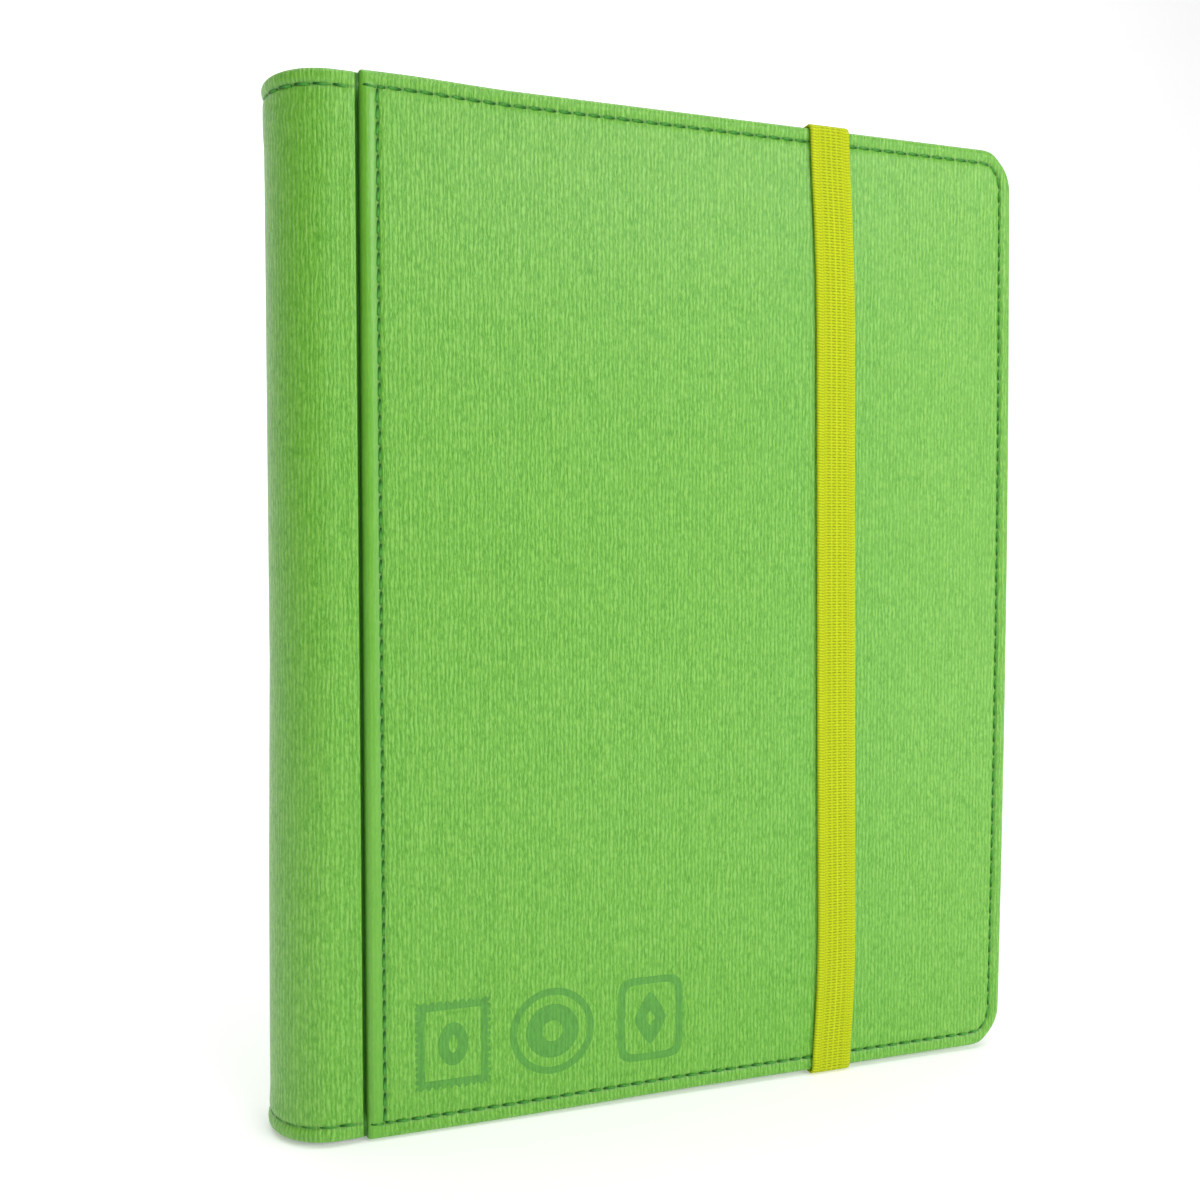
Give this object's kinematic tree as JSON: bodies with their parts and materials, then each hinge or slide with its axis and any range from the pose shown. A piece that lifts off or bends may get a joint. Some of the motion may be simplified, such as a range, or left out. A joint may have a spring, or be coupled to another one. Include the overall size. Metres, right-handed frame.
{
  "type": "pocket album",
  "caption": "Collector's pocket album: padded leatherette case with a round stitched spine, hinged covers, side-loading pocket leaves and a woven elastic strap.",
  "frame": {"origin": "under the middle of the closed case, on the surface that it stands on", "axes": "+Z from tail to head, spine at -X, fore edge at +X, front cover at -Y, back cover at +Y"},
  "size_m": [0.192, 0.031, 0.242],
  "materials": {
    "green_leather": "satin",
    "thread": "satin",
    "foam": "matte",
    "board": "matte",
    "stiffener": "matte",
    "lining": "matte",
    "leaf_backing": "satin",
    "pocket_film": "gloss",
    "elastic": "matte"
  },
  "bodies": {
    "back_cover": {"back_leather": "green_leather", "back_foam": "foam", "back_board": "board", "back_lining": "lining", "back_stitching": "thread", "strap_tab_upper": "elastic", "strap_tab_lower": "elastic"},
    "spine": {"spine_leather": "green_leather", "spine_stiffener": "stiffener", "spine_lining": "lining", "spine_stitching": "thread", "binding_strip": "leaf_backing", "leaf_margins": "leaf_backing"},
    "front_cover": {"front_leather": "green_leather", "front_foam": "foam", "front_board": "board", "front_lining": "lining", "front_stitching": "thread"},
    "elastic_strap": {"strap": "elastic"},
    "page_01": {"leaf_01": "leaf_backing", "pockets_01": "pocket_film"},
    "page_02": {"leaf_02": "leaf_backing", "pockets_02": "pocket_film"},
    "page_03": {"leaf_03": "leaf_backing", "pockets_03": "pocket_film"},
    "page_04": {"leaf_04": "leaf_backing", "pockets_04": "pocket_film"},
    "page_05": {"leaf_05": "leaf_backing", "pockets_05": "pocket_film"},
    "page_06": {"leaf_06": "leaf_backing", "pockets_06": "pocket_film"},
    "page_07": {"leaf_07": "leaf_backing", "pockets_07": "pocket_film"},
    "page_08": {"leaf_08": "leaf_backing", "pockets_08": "pocket_film"},
    "page_09": {"leaf_09": "leaf_backing", "pockets_09": "pocket_film"},
    "page_10": {"leaf_10": "leaf_backing", "pockets_10": "pocket_film"},
    "page_11": {"leaf_11": "leaf_backing", "pockets_11": "pocket_film"},
    "page_12": {"leaf_12": "leaf_backing", "pockets_12": "pocket_film"},
    "page_13": {"leaf_13": "leaf_backing", "pockets_13": "pocket_film"},
    "page_14": {"leaf_14": "leaf_backing", "pockets_14": "pocket_film"},
    "page_15": {"leaf_15": "leaf_backing", "pockets_15": "pocket_film"},
    "page_16": {"leaf_16": "leaf_backing", "pockets_16": "pocket_film"},
    "page_17": {"leaf_17": "leaf_backing", "pockets_17": "pocket_film"},
    "page_18": {"leaf_18": "leaf_backing", "pockets_18": "pocket_film"},
    "page_19": {"leaf_19": "leaf_backing", "pockets_19": "pocket_film"},
    "page_20": {"leaf_20": "leaf_backing", "pockets_20": "pocket_film"}
  },
  "joints": [
    {"name": "spine_fold", "type": "hinge", "parent": "back_cover", "child": "spine", "pos_m": [-0.0758, 0.015, 0.001], "axis": [0, 0, -1], "range_deg": [0, 90]},
    {"name": "front_cover_fold", "type": "hinge", "parent": "spine", "child": "front_cover", "pos_m": [-0.0758, -0.015, 0.001], "axis": [0, 0, -1], "range_deg": [0, 90]},
    {"name": "strap_swing", "type": "hinge", "parent": "back_cover", "child": "elastic_strap", "pos_m": [0.0432, 0.01205, 0], "axis": [0, 0, 1], "range_deg": [0, 180], "deforming": ["strap"]},
    {"name": "page_01_turn", "type": "hinge", "parent": "spine", "child": "page_01", "pos_m": [-0.0713, -0.01026, 0.001], "axis": [0, 0, -1], "range_deg": [-85, 85]},
    {"name": "page_02_turn", "type": "hinge", "parent": "spine", "child": "page_02", "pos_m": [-0.0713, -0.00918, 0.001], "axis": [0, 0, -1], "range_deg": [-85, 85]},
    {"name": "page_03_turn", "type": "hinge", "parent": "spine", "child": "page_03", "pos_m": [-0.0713, -0.0081, 0.001], "axis": [0, 0, -1], "range_deg": [-85, 85]},
    {"name": "page_04_turn", "type": "hinge", "parent": "spine", "child": "page_04", "pos_m": [-0.0713, -0.00702, 0.001], "axis": [0, 0, -1], "range_deg": [-85, 85]},
    {"name": "page_05_turn", "type": "hinge", "parent": "spine", "child": "page_05", "pos_m": [-0.0713, -0.00594, 0.001], "axis": [0, 0, -1], "range_deg": [-85, 85]},
    {"name": "page_06_turn", "type": "hinge", "parent": "spine", "child": "page_06", "pos_m": [-0.0713, -0.00486, 0.001], "axis": [0, 0, -1], "range_deg": [-85, 85]},
    {"name": "page_07_turn", "type": "hinge", "parent": "spine", "child": "page_07", "pos_m": [-0.0713, -0.00378, 0.001], "axis": [0, 0, -1], "range_deg": [-85, 85]},
    {"name": "page_08_turn", "type": "hinge", "parent": "spine", "child": "page_08", "pos_m": [-0.0713, -0.0027, 0.001], "axis": [0, 0, -1], "range_deg": [-85, 85]},
    {"name": "page_09_turn", "type": "hinge", "parent": "spine", "child": "page_09", "pos_m": [-0.0713, -0.00162, 0.001], "axis": [0, 0, -1], "range_deg": [-85, 85]},
    {"name": "page_10_turn", "type": "hinge", "parent": "spine", "child": "page_10", "pos_m": [-0.0713, -0.00054, 0.001], "axis": [0, 0, -1], "range_deg": [-85, 85]},
    {"name": "page_11_turn", "type": "hinge", "parent": "spine", "child": "page_11", "pos_m": [-0.0713, 0.00054, 0.001], "axis": [0, 0, -1], "range_deg": [-85, 85]},
    {"name": "page_12_turn", "type": "hinge", "parent": "spine", "child": "page_12", "pos_m": [-0.0713, 0.00162, 0.001], "axis": [0, 0, -1], "range_deg": [-85, 85]},
    {"name": "page_13_turn", "type": "hinge", "parent": "spine", "child": "page_13", "pos_m": [-0.0713, 0.0027, 0.001], "axis": [0, 0, -1], "range_deg": [-85, 85]},
    {"name": "page_14_turn", "type": "hinge", "parent": "spine", "child": "page_14", "pos_m": [-0.0713, 0.00378, 0.001], "axis": [0, 0, -1], "range_deg": [-85, 85]},
    {"name": "page_15_turn", "type": "hinge", "parent": "spine", "child": "page_15", "pos_m": [-0.0713, 0.00486, 0.001], "axis": [0, 0, -1], "range_deg": [-85, 85]},
    {"name": "page_16_turn", "type": "hinge", "parent": "spine", "child": "page_16", "pos_m": [-0.0713, 0.00594, 0.001], "axis": [0, 0, -1], "range_deg": [-85, 85]},
    {"name": "page_17_turn", "type": "hinge", "parent": "spine", "child": "page_17", "pos_m": [-0.0713, 0.00702, 0.001], "axis": [0, 0, -1], "range_deg": [-85, 85]},
    {"name": "page_18_turn", "type": "hinge", "parent": "spine", "child": "page_18", "pos_m": [-0.0713, 0.0081, 0.001], "axis": [0, 0, -1], "range_deg": [-85, 85]},
    {"name": "page_19_turn", "type": "hinge", "parent": "spine", "child": "page_19", "pos_m": [-0.0713, 0.00918, 0.001], "axis": [0, 0, -1], "range_deg": [-85, 85]},
    {"name": "page_20_turn", "type": "hinge", "parent": "spine", "child": "page_20", "pos_m": [-0.0713, 0.01026, 0.001], "axis": [0, 0, -1], "range_deg": [-85, 85]}
  ],
  "couplings": [
    {"joint": "front_cover_fold", "follows": "spine_fold", "ratio": 1},
    {"joint": "strap_swing", "follows": "spine_fold", "ratio": 2},
    {"joint": "page_01_turn", "follows": "spine_fold", "ratio": 0.94444},
    {"joint": "page_02_turn", "follows": "spine_fold", "ratio": 0.84503},
    {"joint": "page_03_turn", "follows": "spine_fold", "ratio": 0.74561},
    {"joint": "page_04_turn", "follows": "spine_fold", "ratio": 0.6462},
    {"joint": "page_05_turn", "follows": "spine_fold", "ratio": 0.54678},
    {"joint": "page_06_turn", "follows": "spine_fold", "ratio": 0.44737},
    {"joint": "page_07_turn", "follows": "spine_fold", "ratio": 0.34795},
    {"joint": "page_08_turn", "follows": "spine_fold", "ratio": 0.24854},
    {"joint": "page_09_turn", "follows": "spine_fold", "ratio": 0.14912},
    {"joint": "page_10_turn", "follows": "spine_fold", "ratio": 0.04971},
    {"joint": "page_11_turn", "follows": "spine_fold", "ratio": -0.04971},
    {"joint": "page_12_turn", "follows": "spine_fold", "ratio": -0.14912},
    {"joint": "page_13_turn", "follows": "spine_fold", "ratio": -0.24854},
    {"joint": "page_14_turn", "follows": "spine_fold", "ratio": -0.34795},
    {"joint": "page_15_turn", "follows": "spine_fold", "ratio": -0.44737},
    {"joint": "page_16_turn", "follows": "spine_fold", "ratio": -0.54678},
    {"joint": "page_17_turn", "follows": "spine_fold", "ratio": -0.6462},
    {"joint": "page_18_turn", "follows": "spine_fold", "ratio": -0.74561},
    {"joint": "page_19_turn", "follows": "spine_fold", "ratio": -0.84503},
    {"joint": "page_20_turn", "follows": "spine_fold", "ratio": -0.94444}
  ]
}
